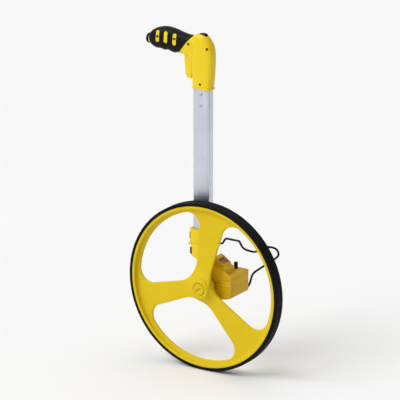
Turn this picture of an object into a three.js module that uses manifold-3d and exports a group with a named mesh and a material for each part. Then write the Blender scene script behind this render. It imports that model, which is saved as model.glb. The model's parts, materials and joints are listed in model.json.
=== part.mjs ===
// Measuring wheel: a one-metre wheel on a folding pole, with a mechanical counter and a hand brake.
//
// Millimetres, +Z up. +X is the way the wheel rolls, +Y points along the axle towards the counter.
// The origin is where the tyre touches the ground, in the middle of the tyre. Every solid below is
// drawn from the axle's centre, and one group lifts them all by the tyre's radius.

import * as THREE from 'three';
import { mergeVertices } from 'three/addons/utils/BufferGeometryUtils.js';
import Module from 'manifold-3d';

const wasm = await Module();
wasm.setup();

// ---------------------------------------------------------------- driving dimensions

const FIT = 0.3; // gap between two pieces that touch

const WHEEL = {
  tyreRadius: 1000 / (2 * Math.PI), // one turn measures one metre
  width: 22,
  steps: 48,
  rimOuter: 153,
  rimInner: 148,
  rimGroove: 150.6,
  grooveHalf: 5.9,
  holeOuter: 141.2,
  hubArc: 49.5,
  holeCorner: 24.4,
  holes: [
    { axisDeg: 19.6, inner: 21.1, edgeDeg: 54.6 },
    { axisDeg: 140.65, inner: 31.9, edgeDeg: 53.8 },
    { axisDeg: 255.2, inner: 25.5, edgeDeg: 51.9 },
  ],
  bearingRadius: 11,
  axleRadius: 4,
};

const POLE = {
  x: -19, y: 22.95, width: 35, depth: 16.2, corner: 3.5, wall: 1.5, bottom: 77.3, top: 425,
};

const FOLD = { x: -42, z: 72, barrel: 2.6, pin: 1.3 };

const HOUSING = {
  near: 12.95, far: 75.95, rear: 35.5, front: 46.5, wall: 2.5, deckTop: 20, drumFar: 52, drumFront: 30,
};

const HOOD = { near: 24, far: 51, wall: 2 };

const COUNTER = { x: 9.5, z: 30.5, drumRadius: 9.2, drumWidth: 3.4, drumPitch: 3.7, first: 30.3, shaft: 2.5 };

const GEAR = { module: 0.9, near: 26.4, far: 29.9, hubTeeth: 20, idlerTeeth: 16, drumTeeth: 20 };

const TRIGGER = { x: -47, z: 431, boss: 4, pin: 1.5, halfWidth: 5 };

const BRAKE = { x: -24, z: -6, near: 16.2, far: 20.2, pin: 2, cableX: -17, cableY: 18.2, cable: 0.8 };

const STAND = { y: 80.5, z: -16, wire: 2 };

const COLOUR = {
  yellow: 0xe6c418,
  amber: 0xd9a41a,
  black: 0x1c1c1e,
  aluminium: 0xc4c9ce,
  steel: 0x9a9da1,
  clear: 0xcfd8dc,
  white: 0xe8e8e4,
};

const FINISH = {
  yellowPlastic: { color: COLOUR.yellow, roughness: 0.42, metalness: 0 },
  amberPlastic: { color: COLOUR.amber, roughness: 0.45, metalness: 0 },
  blackPlastic: { color: COLOUR.black, roughness: 0.45, metalness: 0 },
  rubber: { color: COLOUR.black, roughness: 0.85, metalness: 0 },
  aluminium: { color: COLOUR.aluminium, roughness: 0.32, metalness: 1 },
  steel: { color: COLOUR.steel, roughness: 0.3, metalness: 1 },
  blackWire: { color: COLOUR.black, roughness: 0.35, metalness: 0.4 },
  whitePlastic: { color: COLOUR.white, roughness: 0.5, metalness: 0 },
  clearPlastic: { color: COLOUR.clear, roughness: 0.08, metalness: 0 },
};

// ---------------------------------------------------------------- from geometry to solid and back

const rad = THREE.MathUtils.degToRad;

function signedVolume(position, index) {
  const a = new THREE.Vector3();
  const b = new THREE.Vector3();
  const c = new THREE.Vector3();
  let total = 0;
  for (let i = 0; i < index.length; i += 3) {
    a.fromArray(position, 3 * index[i]);
    b.fromArray(position, 3 * index[i + 1]);
    c.fromArray(position, 3 * index[i + 2]);
    total += a.dot(b.cross(c)) / 6;
  }
  return total;
}

// A closed three.js geometry as a solid with its faces pointing out.
function solid(source) {
  const bare = source.clone();
  bare.deleteAttribute('normal');
  bare.deleteAttribute('uv');
  const merged = mergeVertices(bare, 1e-4);
  const position = merged.attributes.position.array;
  const all = merged.index.array;
  const kept = [];
  for (let i = 0; i < all.length; i += 3) {
    const [a, b, c] = [all[i], all[i + 1], all[i + 2]];
    if (a !== b && b !== c && c !== a) kept.push(a, b, c);
  }
  if (signedVolume(position, kept) < 0) kept.reverse();
  const vertProperties = new Float32Array(position);
  const triVerts = new Uint32Array(kept);
  return new wasm.Manifold(new wasm.Mesh({ numProp: 3, vertProperties, triVerts }));
}

function geometryOf(body) {
  const mesh = body.getMesh();
  const geometry = new THREE.BufferGeometry();
  geometry.setAttribute('position', new THREE.BufferAttribute(new Float32Array(mesh.vertProperties), 3));
  geometry.setIndex(new THREE.BufferAttribute(new Uint32Array(mesh.triVerts), 1));
  geometry.computeVertexNormals();
  return geometry;
}

const join = (...bodies) => bodies.reduce((whole, piece) => whole.add(piece));
const cut = (body, ...tools) => tools.reduce((rest, tool) => rest.subtract(tool), body);

// ---------------------------------------------------------------- shapes

// A plane outline pushed out along +Z, with edges rounded by `round` inside the outline.
function slab(points, depth, round = 0, roundSteps = 2) {
  const shape = new THREE.Shape(points.map(([x, y]) => new THREE.Vector2(x, y)));
  const geometry = new THREE.ExtrudeGeometry(shape, {
    depth: depth - 2 * round,
    steps: 1,
    bevelEnabled: round > 0,
    bevelThickness: round,
    bevelSize: round,
    bevelOffset: -round,
    bevelSegments: roundSteps,
  });
  return geometry.translate(0, 0, round);
}

// Outlines in the X-Z plane pushed along +Y, in the X-Y plane along +Z, in the Y-Z plane along +X.
function alongY(points, y0, y1, round, roundSteps) {
  return slab(points, y1 - y0, round, roundSteps).rotateX(Math.PI / 2).translate(0, y1, 0);
}

function alongZ(points, z0, z1, round, roundSteps) {
  return slab(points, z1 - z0, round, roundSteps).translate(0, 0, z0);
}

function block(x0, x1, y0, y1, z0, z1) {
  const box = new THREE.BoxGeometry(x1 - x0, y1 - y0, z1 - z0);
  return box.translate((x0 + x1) / 2, (y0 + y1) / 2, (z0 + z1) / 2);
}

// A closed profile of [radius, height] points turned about the Y axis. The first step lies on -Z.
function turned(profile, steps) {
  const closed = profile[0][0] > 0 ? [...profile, profile[0]] : profile;
  const points = closed.map(([r, y]) => new THREE.Vector2(r, y));
  return new THREE.LatheGeometry(points, steps, Math.PI);
}

function rodY(x, z, radius, y0, y1, steps = 14) {
  return turned([[0, y0], [radius, y0], [radius, y1], [0, y1]], steps).translate(x, 0, z);
}

function rodZ(x, y, radius, z0, z1, steps = 12) {
  const rod = turned([[0, z0], [radius, z0], [radius, z1], [0, z1]], steps);
  return rod.rotateX(Math.PI / 2).translate(x, y, 0);
}

function rodX(y, z, radius, x0, x1, steps = 16) {
  const rod = turned([[0, -x1], [radius, -x1], [radius, -x0], [0, -x0]], steps);
  return rod.rotateZ(Math.PI / 2).translate(0, y, z);
}

function arcPoints(cx, cy, radius, fromDeg, toDeg, steps) {
  return Array.from({ length: steps + 1 }, (_, i) => {
    const angle = rad(fromDeg + ((toDeg - fromDeg) * i) / steps);
    return [cx + radius * Math.cos(angle), cy + radius * Math.sin(angle)];
  });
}

function roundedRectangle(cx, cy, width, depth, corner, steps = 3) {
  const dx = width / 2 - corner;
  const dy = depth / 2 - corner;
  return [
    ...arcPoints(cx + dx, cy + dy, corner, 0, 90, steps),
    ...arcPoints(cx - dx, cy + dy, corner, 90, 180, steps),
    ...arcPoints(cx - dx, cy - dy, corner, 180, 270, steps),
    ...arcPoints(cx + dx, cy - dy, corner, 270, 360, steps),
  ];
}

// The same outline moved inwards by a distance. The outline runs anticlockwise.
function inset(points, distance) {
  return points.map((point, i) => {
    const before = points[(i + points.length - 1) % points.length];
    const after = points[(i + 1) % points.length];
    const a = new THREE.Vector2(point[0] - before[0], point[1] - before[1]).normalize();
    const b = new THREE.Vector2(after[0] - point[0], after[1] - point[1]).normalize();
    const normal = new THREE.Vector2(-a.y - b.y, a.x + b.x).normalize();
    const reach = distance / Math.max(0.5, normal.dot(new THREE.Vector2(-a.y, a.x)));
    return [point[0] + normal.x * reach, point[1] + normal.y * reach];
  });
}

// A smooth curve through a few points, as an outline.
function smooth(points, steps) {
  const curve = new THREE.CatmullRomCurve3(points.map(([x, z]) => new THREE.Vector3(x, z, 0)));
  return curve.getPoints(steps).map((p) => [p.x, p.y]);
}

// ---------------------------------------------------------------- wheel

// One hole between two spokes, in wheel coordinates. Its middle lies on `axisDeg`, it starts `inner`
// from the axle, and its straight sides lean `edgeDeg` from its middle.
function spokeHole({ axisDeg, inner, edgeDeg }) {
  const { holeOuter, hubArc, holeCorner } = WHEEL;
  const edge = new THREE.Vector2(Math.cos(rad(edgeDeg)), Math.sin(rad(edgeDeg)));
  const inward = new THREE.Vector2(edge.y, -edge.x);
  const arcCentre = inner + hubArc;
  const tangentDeg = 90 + edgeDeg;
  const start = new THREE.Vector2(arcCentre, 0).addScaledVector(inward, -hubArc);
  // The corner's centre lies one corner radius from the edge and from the outer arc.
  const base = start.clone().addScaledVector(inward, holeCorner);
  const along = base.dot(edge);
  const reach = holeOuter - holeCorner;
  const s = -along + Math.sqrt(along * along - base.lengthSq() + reach * reach);
  const corner = base.clone().addScaledVector(edge, s);
  const cornerDeg = THREE.MathUtils.radToDeg(corner.angle());
  const outer = arcPoints(0, 0, holeOuter, -cornerDeg, cornerDeg, 8);
  const upper = arcPoints(corner.x, corner.y, holeCorner, cornerDeg, tangentDeg, 5);
  const hub = arcPoints(arcCentre, 0, hubArc, tangentDeg, 360 - tangentDeg, 8);
  const lower = arcPoints(corner.x, -corner.y, holeCorner, 360 - tangentDeg, 360 - cornerDeg, 5);
  const outline = [...outer, ...upper.slice(1), ...hub, ...lower.slice(0, -1)];
  const turn = rad(axisDeg);
  return outline.map(([u, v]) => [
    u * Math.cos(turn) - v * Math.sin(turn),
    u * Math.sin(turn) + v * Math.cos(turn),
  ]);
}

// The rim and the tyre are turned half a step, so that the tyre stands on one of its flats.
const onItsFlat = (geometry) => geometry.rotateY(Math.PI / WHEEL.steps);

function wheelDisc() {
  const half = WHEEL.width / 2;
  const { rimInner, rimOuter, rimGroove, grooveHalf, bearingRadius } = WHEEL;
  const bore = bearingRadius + 0.2;
  const profile = [
    [bore, -22.3], [16.3, -22.3], [18.2, -20.2], [20.5, -16.5], [32, -10.4],
    [140, -2.8], [rimInner, -5.2], [rimInner, -half], [rimOuter, -half], [rimOuter, -grooveHalf - 0.4],
    [rimGroove, -grooveHalf], [rimGroove, grooveHalf], [rimOuter, grooveHalf + 0.4],
    [rimOuter, half], [rimInner, half], [rimInner, 4.6], [140, 2.2], [32, -5.2], [15.5, -4.4],
    [15.5, 9], [bore, 9], [bore, -4.2], [8.5, -4.2], [8.5, -9.8], [bore, -9.8],
  ];
  const disc = solid(onItsFlat(turned(profile, WHEEL.steps)));
  const holes = WHEEL.holes.map((hole) => solid(alongY(spokeHole(hole), -20, 12)));
  return cut(disc, ...holes);
}

function tyre() {
  const half = WHEEL.width / 2;
  const r = WHEEL.tyreRadius / Math.cos(Math.PI / WHEEL.steps);
  const inner = WHEEL.rimOuter + FIT;
  const key = WHEEL.rimGroove + FIT;
  const keyHalf = WHEEL.grooveHalf - 0.4;
  return solid(onItsFlat(turned([
    [inner, -half], [r - 1.6, -half], [r, -half + 1.8], [r, half - 1.8], [r - 1.6, half],
    [inner, half], [inner, keyHalf + 0.4], [key, keyHalf], [key, -keyHalf], [inner, -keyHalf - 0.4],
  ], WHEEL.steps)));
}

function hubCap() {
  const radius = WHEEL.bearingRadius - 0.1;
  const face = -23.05;
  const profile = [[0, face], [radius - 0.7, face], [radius, face + 0.6], [radius, -19.6], [0, -19.6]];
  const slot = block(-6.5, 6.5, face - 1, face + 1.5, -1.1, 1.1).rotateY(rad(-38));
  return cut(solid(turned(profile, 32)), solid(slot));
}

function bearing() {
  const bore = WHEEL.axleRadius + 0.2;
  const rim = WHEEL.bearingRadius;
  return solid(turned([
    [bore, 0], [6.4, 0], [6.8, 0.5], [9, 0.5], [9.4, 0], [rim, 0], [rim, 7], [bore, 7],
  ], 20));
}

// A spur gear's outline with one tooth centred on `phase` (radians).
function gearOutline(teeth, phase) {
  const pitch = (2 * Math.PI) / teeth;
  const root = GEAR.module * (teeth / 2 - 1.15);
  const tip = GEAR.module * (teeth / 2 + 0.8);
  const corners = [[-0.27, root], [-0.1, tip], [0.1, tip], [0.27, root]];
  return Array.from({ length: teeth }, (_, tooth) => corners.map(([share, radius]) => {
    const angle = phase + (tooth + share) * pitch;
    return [radius * Math.cos(angle), radius * Math.sin(angle)];
  })).flat();
}

// Where the idler sits between the hub gear and the drum gear, and how each gear is turned to mesh.
function gearTrain() {
  const drum = new THREE.Vector2(COUNTER.x, COUNTER.z);
  const side = (GEAR.module * (GEAR.hubTeeth + GEAR.idlerTeeth)) / 2;
  const half = drum.length() / 2;
  const aside = new THREE.Vector2(drum.y, -drum.x).normalize();
  const idler = drum.clone().multiplyScalar(0.5).addScaledVector(aside, Math.sqrt(side * side - half * half));
  const toIdler = idler.angle();
  const toDrum = drum.clone().sub(idler).angle();
  const mesh = (phase, teeth, direction, nextTeeth) =>
    direction + Math.PI + (teeth * (direction - phase) - Math.PI) / nextTeeth;
  const hubPhase = toIdler;
  const idlerPhase = mesh(hubPhase, GEAR.hubTeeth, toIdler, GEAR.idlerTeeth);
  const drumPhase = mesh(idlerPhase, GEAR.idlerTeeth, toDrum, GEAR.drumTeeth);
  return { idler, hubPhase, idlerPhase, drumPhase };
}

const TRAIN = gearTrain();

function hubGear() {
  const bore = WHEEL.axleRadius + 0.4;
  const sleeve = solid(turned([
    [0, 3.3], [WHEEL.bearingRadius - 0.1, 3.3], [WHEEL.bearingRadius - 0.1, 8.8], [8.6, 9.3],
    [8.6, 25], [7.6, 25.2], [7.6, GEAR.far], [0, GEAR.far],
  ], 20));
  const teeth = solid(alongY(gearOutline(GEAR.hubTeeth, TRAIN.hubPhase), GEAR.near, GEAR.far));
  return cut(join(sleeve, teeth), solid(rodY(0, 0, bore, 0, 40, 20)));
}

function axle() {
  const r = WHEEL.axleRadius;
  return join(
    solid(turned([[0, -19.2], [r - 0.5, -19.2], [r, -18.7], [r, 76.3], [0, 76.3]], 24)),
    solid(turned([[0, 76.3], [8, 76.3], [8, 79.3], [7.2, 80.3], [0, 80.3]], 24)),
  );
}

function axleNut() {
  const outline = arcPoints(0, 0, 6.3, 0, 300, 5);
  return cut(solid(alongY(outline, -19.1, -17.3, 0.3, 1)), solid(rodY(0, 0, 4.3, -25, -10, 24)));
}

// ---------------------------------------------------------------- counter housing

// The side outline of the housing: a drum around the axle that runs out to a flat front.
function housingOutline() {
  const { rear, front } = HOUSING;
  return [
    [28, -25], [42, -21.8], [45.6, -20], [front, -17], [front, 19.2], [45.6, 20.9], [40, 24.6],
    [32.5, 29.3], [21, 33.4], ...arcPoints(0, 0, rear, 76, 312, 15),
  ];
}

function hoodOutline(shrink = 0) {
  return inset([
    [25, 31], [23.3, 37.1], [7, 47.2], [4, 48.2], [0, 48], [-2, 46], [-2, 30], [4, 24], [16, 24],
  ], shrink);
}

const HOUSING_SCREWS = [[38, 19.5], [38, 69], [-25, 69], [-25, 45]];
const NECK_SCREWS = [{ x: -10, y: 28, head: 28, tip: 44 }, { x: -21, y: 28, head: 19.4, tip: 38 }];
const PEG = { x: 23.6, y: 67.2, radius: 3.7, flange: 4.9, bottom: 11, top: 32 };

// The air above the low flat top: beyond the drum, and in front of it behind the near wall's lip.
function aboveFlatTop(shift) {
  const { near, far, wall, deckTop, drumFar, drumFront } = HOUSING;
  return [
    solid(block(-80, 80, drumFar - shift, far + 10, deckTop - shift, 90)),
    solid(block(drumFront - shift, 80, near + wall - shift, far + 10, deckTop - shift, 90)),
  ];
}

function housingShell(isUpper) {
  const { near, far, wall } = HOUSING;
  const outline = housingOutline();
  const outer = cut(solid(alongY(outline, near, far, 1.6, 1)), ...aboveFlatTop(0));
  const inner = cut(solid(alongY(inset(outline, wall), near + wall, far - wall)), ...aboveFlatTop(wall));
  const half = isUpper
    ? solid(block(-80, 80, 0, 120, FIT / 2, 90))
    : solid(block(-80, 80, 0, 120, -90, -FIT / 2));
  const bosses = HOUSING_SCREWS.map(([x, y]) => solid(rodZ(x, y, 4, -40, 40)).intersect(outer));
  const axleBoss = solid(rodY(0, 0, 8, 38, far - 1, 24));
  let shell = join(cut(outer, inner), ...bosses, axleBoss);
  if (isUpper) {
    const hood = solid(alongY(hoodOutline(), HOOD.near, HOOD.far, 1.2, 1));
    const hollow = solid(alongY(hoodOutline(HOOD.wall), HOOD.near + HOOD.wall, HOOD.far - HOOD.wall));
    const ribs = [[21, 23.6, 10], [49.4, 52, 22]].map(([y0, y1, z]) => solid(block(1, 15, y0, y1, z, 32.6)));
    shell = join(cut(join(outer, hood), inner, hollow), ...bosses, axleBoss, ...ribs);
    shell = cut(
      shell,
      solid(rodY(COUNTER.x, COUNTER.z, COUNTER.shaft + 0.2, 22, 50.6)),
      solid(rodY(TRAIN.idler.x, TRAIN.idler.y, 2.2, 20, 25)),
      solid(rodZ(PEG.x, PEG.y, PEG.radius + FIT, 10, 60)),
      ...NECK_SCREWS.map(({ x, y }) => solid(rodZ(x, y, 1.7, 10, 60))),
      solid(rodZ(BRAKE.cableX, BRAKE.cableY, 1.6, 10, 60)),
      ...windowTools(),
    );
  }
  const screwHoles = HOUSING_SCREWS.map(([x, y]) => solid(rodZ(x, y, 1.7, -40, 10)));
  const counterbores = HOUSING_SCREWS.map(([x, y]) => solid(rodZ(x, y, 3.4, -40, x > 0 ? -19 : -17)));
  return cut(
    shell.intersect(half),
    solid(rodY(0, 0, WHEEL.axleRadius + FIT, 30, 90, 24)),
    solid(rodY(0, 0, 12.5, near - 1, near + wall + 1, 24)),
    solid(rodY(BRAKE.x, BRAKE.z, BRAKE.pin + 0.2, near - 1, near + wall + 1)),
    ...screwHoles,
    ...counterbores,
  );
}

// The window lies on the hood's sloping face. These blocks are drawn lying flat, then tipped onto it.
function onHoodFace(geometry) {
  const slope = Math.atan2(47.2 - 37.1, 23.3 - 7);
  return geometry.rotateY(slope).translate(15.15, (HOOD.near + HOOD.far) / 2, 42.15);
}

function windowTools() {
  return [
    solid(onHoodFace(block(-7, 7, -10, 10, -1.2, 5))),
    solid(onHoodFace(block(-5.6, 5.6, -8.6, 8.6, -6, 5))),
  ];
}

const counterWindow = () => solid(onHoodFace(block(-6.7, 6.7, -9.7, 9.7, -0.9, 0.1)));

function digitDrum(index) {
  const y0 = COUNTER.first + index * COUNTER.drumPitch;
  const y1 = y0 + COUNTER.drumWidth;
  const r = COUNTER.drumRadius;
  const bore = COUNTER.shaft + 0.2;
  return solid(turned([[bore, y0], [r, y0], [r, y1], [bore, y1]], 24));
}

function drumGear() {
  const outline = gearOutline(GEAR.drumTeeth, TRAIN.drumPhase);
  return cut(solid(alongY(outline, GEAR.near, GEAR.far)), solid(rodY(0, 0, COUNTER.shaft + 0.2, 0, 60)));
}

function idlerGear() {
  const outline = gearOutline(GEAR.idlerTeeth, TRAIN.idlerPhase);
  return cut(solid(alongY(outline, GEAR.near, GEAR.far)), solid(rodY(0, 0, 2.2, 0, 60)));
}

function resetPeg() {
  const { radius, flange, bottom, top } = PEG;
  return solid(turned([
    [0, bottom], [flange, bottom], [flange, bottom + 2.4], [radius, bottom + 2.4], [radius, top - 1.4],
    [radius - 0.7, top - 0.4], [radius - 1.8, top], [0, top],
  ], 20).rotateX(Math.PI / 2));
}

// ---------------------------------------------------------------- screws and rivets

// A head with its top at the origin and a shank that points along +Y.
function screw(headRadius, headHeight, shankRadius, length, steps = 9) {
  return solid(turned([
    [0, 0], [headRadius, 0], [headRadius, headHeight],
    [shankRadius, headHeight], [shankRadius, length], [0, length],
  ], steps));
}

// ---------------------------------------------------------------- fold hinge and its release

function upperBlock() {
  const { x, y } = POLE;
  const floor = FOLD.z + 0.15;
  const body = solid(alongZ(roundedRectangle(x, y, 48, 22, 4.5), floor, 101, 0.8, 1));
  const { width, depth, corner } = POLE;
  const socket = solid(alongZ(roundedRectangle(x, y, width + 2 * FIT, depth + 2 * FIT, corner + FIT), 77, 110));
  const knuckle = solid(rodY(FOLD.x, FOLD.z, FOLD.barrel, 18.2, 27.7));
  const web = solid(block(FOLD.x - 0.8, FOLD.x + 3, 18.2, 27.7, FOLD.z, FOLD.z + 4));
  const tongue = solid(block(-7.9, -2.1, 20, 26, 65, FOLD.z + 3));
  return cut(
    join(cut(
      body,
      solid(rodY(FOLD.x, FOLD.z, FOLD.barrel + 0.4, 10, 18)),
      solid(rodY(FOLD.x, FOLD.z, FOLD.barrel + 0.4, 27.9, 36)),
    ), knuckle, web, tongue),
    socket,
    solid(block(-44, -40, 18.6, 27.4, 79.7, 94.3)),
    solid(rodY(FOLD.x, FOLD.z, FOLD.pin + 0.15, 0, 60)),
    solid(rodZ(BRAKE.cableX, BRAKE.cableY, 1.6, 60, 80)),
    solid(rodY(x, 89, 1.7, 28, 40)),
    solid(rodY(x, 89, 3.4, 32.4, 40)),
  );
}

function lowerBlock() {
  const top = FOLD.z - 0.15;
  const outline = [
    [-40, top], [-40, 50], [-37, 47.5], [-27, 44], [-27, 20], [-4, 20], [-4, 48], [1, 50], [5, 55], [5, top],
  ];
  const body = solid(alongY(outline, 11.95, 33.95, 1.5, 1));
  const seat = solid(rodY(0, 0, HOUSING.rear + 2 * FIT, 0, 60, 36));
  const knuckles = [[12.2, 17.8], [28.1, 33.7]].map(([y0, y1]) => join(
    solid(rodY(FOLD.x, FOLD.z, FOLD.barrel, y0, y1)),
    solid(block(FOLD.x, FOLD.x + 4, y0, y1, FOLD.z - FOLD.barrel, FOLD.z - 0.2)),
  ));
  return cut(
    join(cut(body, seat, solid(rodY(FOLD.x, FOLD.z, FOLD.barrel + 0.4, 18, 27.9))), ...knuckles),
    solid(block(-46, -28.4, 18.7, 27.3, 52.2, 65.8)),
    solid(block(-30, -8.9, 20.2, 25.8, 59.6, 64.4)),
    solid(block(-9, -1, 19.4, 26.6, 63.5, 80)),
    solid(rodY(FOLD.x, FOLD.z, FOLD.pin + 0.15, 0, 60)),
    solid(rodZ(BRAKE.cableX, BRAKE.cableY, 1.4, 10, 90)),
    ...NECK_SCREWS.map(({ x, y, tip }) => solid(rodZ(x, y, 1.6, 10, tip + 0.5))),
  );
}

const latchKeeper = () => solid(alongY(
  [[-46, 82], [-44.6, 80], [-40.3, 80], [-40.3, 94], [-44.6, 94], [-46, 92]], 19, 27, 0.6, 1,
));

function releaseButton() {
  const head = [[-43.2, 54], [-42, 52.5], [-32, 52.5], [-32, 65.5], [-42, 65.5], [-43.2, 64]];
  return join(solid(alongY(head, 19, 27, 0.6, 1)), solid(block(-32.5, -12.4, 20.6, 25.4, 60, 64)));
}

// ---------------------------------------------------------------- pole and handle

const POLE_RIVETS = [356, 335];
const HANDLE_SCREWS = [[-43.7, 447], [-4.5, 442.8]];
const COLLAR_SCREW = { x: -19, z: 375.5 };
const GRIP_PADS = [-108.6, -91, -72.6];
const GRIP_SCREWS = [GRIP_PADS[0], GRIP_PADS[2]];
const PAD_Z = 452.9;
const PAD = { width: 7.6, height: 23.2, corner: 2.9 };
const HANDLE_HALF = 12;
const GRIP_HALF = 14.6;
const BUTTON = { rear: -25, front: -11, half: 5, top: 470 };

function poleTube() {
  const { x, y, width, depth, corner, wall, bottom, top } = POLE;
  const outer = solid(alongZ(roundedRectangle(x, y, width, depth, corner), bottom, top));
  const bore = roundedRectangle(x, y, width - 2 * wall, depth - 2 * wall, corner - wall);
  return cut(
    outer,
    solid(alongZ(bore, bottom - 5, top + 5)),
    ...POLE_RIVETS.map((z) => solid(rodY(x - 1, z, 1.9, 0, 20))),
    solid(rodY(COLLAR_SCREW.x, COLLAR_SCREW.z, 1.7, 0, 20)),
    solid(rodY(x, 89, 1.7, 28, 40)),
  );
}

// The column around the pole's top.
function columnOutline() {
  const front = smooth([
    [0.4, 365.6], [2.8, 392], [4.7, 417], [4.4, 439], [1.2, 449], [-5.6, 458.4], [-10.6, 463.6],
  ], 8);
  return [
    ...front, [-13.8, 466], [-17.2, 467.2], [-26.6, 467], [-33, 464.8], [-39.6, 461],
    [-39.6, 392], [-38, 365.6],
  ];
}

// The neck that joins the column to the grip.
const neckOutline = (shrink = 0) => inset([
  [-20, 461], [-41, 461], [-52, 461.4], [-64, 464.2], [-76, 468], [-76, 426.4], [-62, 423.8],
  [-50, 422], [-43.5, 419], [-38, 409], [-20, 398],
], shrink);

// Everything in front of the slanting seam where the rubber sleeve ends, moved forward by `shift`.
function aheadOfSeam(shift) {
  const seam = smooth([[-33, 466], [-38, 461.4], [-47, 451], [-55, 440.4], [-64.5, 427.6], [-70, 419]], 8);
  const outline = [...seam, [-80, 340], [60, 340], [60, 500], [-30, 500]].map(([x, z]) => [x + shift, z]);
  return solid(alongY(outline, -10, 60));
}

const gripTop = [
  ...smooth([[-40.3, 461], [-52, 461.6], [-64, 464.4], [-78, 468.6], [-92, 470.5], [-105, 469.8],
    [-116.5, 466.4]], 11),
  [-124.6, 461.8], [-129, 454.6],
];
const gripBottom = [[-129, 438.8], [-123, 430.8], [-111, 427.8], [-98, 426.8], [-84, 425.4], [-67, 425]];

// The grip's side outline, moved inwards by `shrink`. It runs on into the column, which cuts it off.
function gripOutline(shrink = 0) {
  const top = gripTop.filter(([x]) => x < -48);
  return inset([[-40, 461], ...top, ...gripBottom, [-40, 425]], shrink);
}

function handleShell(side) {
  const { y } = POLE;
  const column = alongY(columnOutline(), y - HANDLE_HALF, y + HANDLE_HALF, 5, 2);
  const neck = solid(alongY(neckOutline(), y - HANDLE_HALF, y + HANDLE_HALF, 5, 2)).intersect(aheadOfSeam(0));
  const core = alongY(gripOutline(3.6), y - GRIP_HALF + 3.4, y + GRIP_HALF - 3.4, 3, 1);
  const pads = GRIP_PADS.map((x) => solid(
    alongY(roundedRectangle(x, PAD_Z, PAD.width, PAD.height, PAD.corner, 2), y - GRIP_HALF, y + GRIP_HALF),
  ));
  const outer = join(solid(column), neck, solid(core), ...pads);
  const columnHollow = solid(alongY(inset(columnOutline(), 2.5), y - 10.4, y + 10.4));
  const neckHollow = solid(alongY(neckOutline(2.6), y - 10.4, y + 10.4)).intersect(aheadOfSeam(3));
  const coreHollow = solid(alongY(gripOutline(6.2), y - 8.6, y + 8.6));
  const bosses = [
    ...HANDLE_SCREWS.map(([x, z]) => solid(rodY(x, z, 4, y - 11, y + 11))),
    solid(rodY(COLLAR_SCREW.x, COLLAR_SCREW.z, 4.4, y - 11, y - 8.6)),
  ];
  const spigot = solid(rodX(y, 444, 6, -132.5, -120, 20));
  const half = side === 'near'
    ? solid(block(-200, 60, y - 40, y - FIT / 2, 340, 500))
    : solid(block(-200, 60, y + FIT / 2, y + 40, 340, 500));
  const buttonHalf = BUTTON.half + FIT;
  const tools = [
    solid(alongZ(roundedRectangle(POLE.x, y, POLE.width + 0.8, POLE.depth + 0.8, 3.9), 350, 386)),
    solid(block(-60, -36.7, y - TRIGGER.halfWidth - 0.7, y + TRIGGER.halfWidth + 0.7, 378, 433)),
    solid(rodY(TRIGGER.x, TRIGGER.z, TRIGGER.pin + 0.2, y - 11, y + 11)),
    solid(block(BUTTON.rear - FIT, BUTTON.front + FIT, y - buttonHalf, y + buttonHalf, 460, 490)),
    ...HANDLE_SCREWS.map(([x, z]) => solid(rodY(x, z, 1.6, y - 20, y + 9))),
    ...HANDLE_SCREWS.map(([x, z]) => solid(rodY(x, z, 3.2, y - 20, y - HANDLE_HALF + 2))),
    solid(rodY(COLLAR_SCREW.x, COLLAR_SCREW.z, 1.6, y - 20, y - 5)),
    solid(rodY(COLLAR_SCREW.x, COLLAR_SCREW.z, 3.2, y - 20, y - HANDLE_HALF + 1.6)),
    ...GRIP_SCREWS.map((x) => solid(rodY(x, PAD_Z, 2.9, y - 20, y - GRIP_HALF + 1.8))),
    ...GRIP_SCREWS.map((x) => solid(rodY(x, PAD_Z, 1.4, y - 20, y - 4))),
  ];
  const hollow = cut(outer, columnHollow, neckHollow, coreHollow);
  return cut(join(hollow, ...bosses, spigot).intersect(half), ...tools);
}

function gripSleeve() {
  const { y } = POLE;
  const outer = solid(alongY(gripOutline(), y - GRIP_HALF, y + GRIP_HALF, 7, 2));
  const bore = solid(alongY(gripOutline(3.3), y - GRIP_HALF + 3.1, y + GRIP_HALF - 3.1, 3, 1));
  const { width, height, corner } = PAD;
  const windows = GRIP_PADS.map((x) => solid(
    alongY(roundedRectangle(x, PAD_Z, width + 2 * FIT, height + 2 * FIT, corner + 0.2, 2), y - 30, y + 30),
  ));
  return cut(outer, bore, ...windows, aheadOfSeam(-FIT), solid(rodX(y, 444, 6.3, -140, -120, 20)));
}

function gripEndRing() {
  return cut(
    solid(rodX(POLE.y, 444, 9.2, -132.5, -129.4, 28)),
    solid(rodX(POLE.y, 444, 6.3, -140, -120, 20)),
  );
}

function gripEndCap() {
  const cap = turned([[0, 132.8], [9.4, 132.8], [9.4, 136.4], [8, 138], [0, 138.4]], 28);
  return solid(cap.rotateZ(Math.PI / 2).translate(0, POLE.y, 444));
}

function triggerLever() {
  const { x, z, boss, halfWidth, pin } = TRIGGER;
  const blade = [
    [x + 3.4, z - 3], [-40, 421], [-40.9, 384], [-43.4, 381.4], [-49.6, 383], [-53.2, 387.4],
    [-55.2, 402], [-56.8, 421], [-54.6, 429.6], [x - 2, z + 3.9],
  ];
  const arm = [[x, z + 3.9], [-15, 437.5], [-14, 436], [-15, 431.6], [x + 3, 430.4], [x, z - 2]];
  return cut(
    join(
      solid(alongY(blade, POLE.y - halfWidth, POLE.y + halfWidth, 1.6, 1)),
      solid(rodY(x, z, boss, POLE.y - 6.4, POLE.y + 6.4)),
      solid(alongY(arm, POLE.y - 6.4, POLE.y + 6.4, 0.6, 1)),
    ),
    solid(rodY(x, z, pin + 0.2, 0, 60)),
  );
}

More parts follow.
